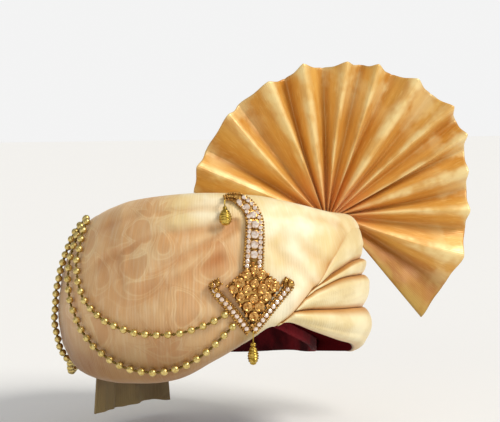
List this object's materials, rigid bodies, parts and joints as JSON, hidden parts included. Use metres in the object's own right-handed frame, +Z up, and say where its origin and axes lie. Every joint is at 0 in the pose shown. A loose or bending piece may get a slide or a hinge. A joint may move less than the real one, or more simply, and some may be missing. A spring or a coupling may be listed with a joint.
{
  "type": "tied turban",
  "caption": "Tied wedding turban of cream and gold brocade over a lined cap, with a pleated fan, a hanging tail, a stone-set brooch and strings of gold beads.",
  "frame": {"origin": "middle of the head opening, level with the top of the arch over the forehead", "axes": "+Z up, the forehead towards -Y, the wearer's left towards +X"},
  "size_m": [0.3564, 0.2656, 0.304],
  "materials": {
    "cap_lining": "dark maroon lining cloth, matt",
    "panel_brocade": "peach-gold silk brocade with tone-on-tone scroll motifs",
    "band_brocade": "cream-gold silk satin brocade, soft sheen",
    "fan_satin": "mustard gold satin, pressed pleats",
    "tail_brocade": "gold brocade, soft sheen",
    "bead_gold": "antique gold plating",
    "brooch_gilt": "gilt beadwork and setting",
    "clear_stone": "clear cut glass, foil backed",
    "drop_gilt": "yellow gold plating"
  },
  "bodies": {
    "root": {"inner_cap": "cap_lining", "crown_pleats": "band_brocade", "front_wrap": "panel_brocade", "side_fold_1": "band_brocade", "side_fold_2": "band_brocade", "side_fold_3": "band_brocade", "side_fold_4": "band_brocade", "fan": "fan_satin", "tail": "tail_brocade", "bead_string_upper": "bead_gold", "bead_string_lower": "bead_gold", "bead_string_back": "bead_gold", "brooch_setting": "brooch_gilt", "stem_stone_1": "clear_stone", "stem_stone_2": "clear_stone", "stem_stone_3": "clear_stone", "stem_stone_4": "clear_stone", "stem_stone_5": "clear_stone", "stem_stone_6": "clear_stone", "stem_stone_7": "clear_stone", "upper_drop": "drop_gilt", "lower_drop": "drop_gilt"}
  },
  "joints": []
}
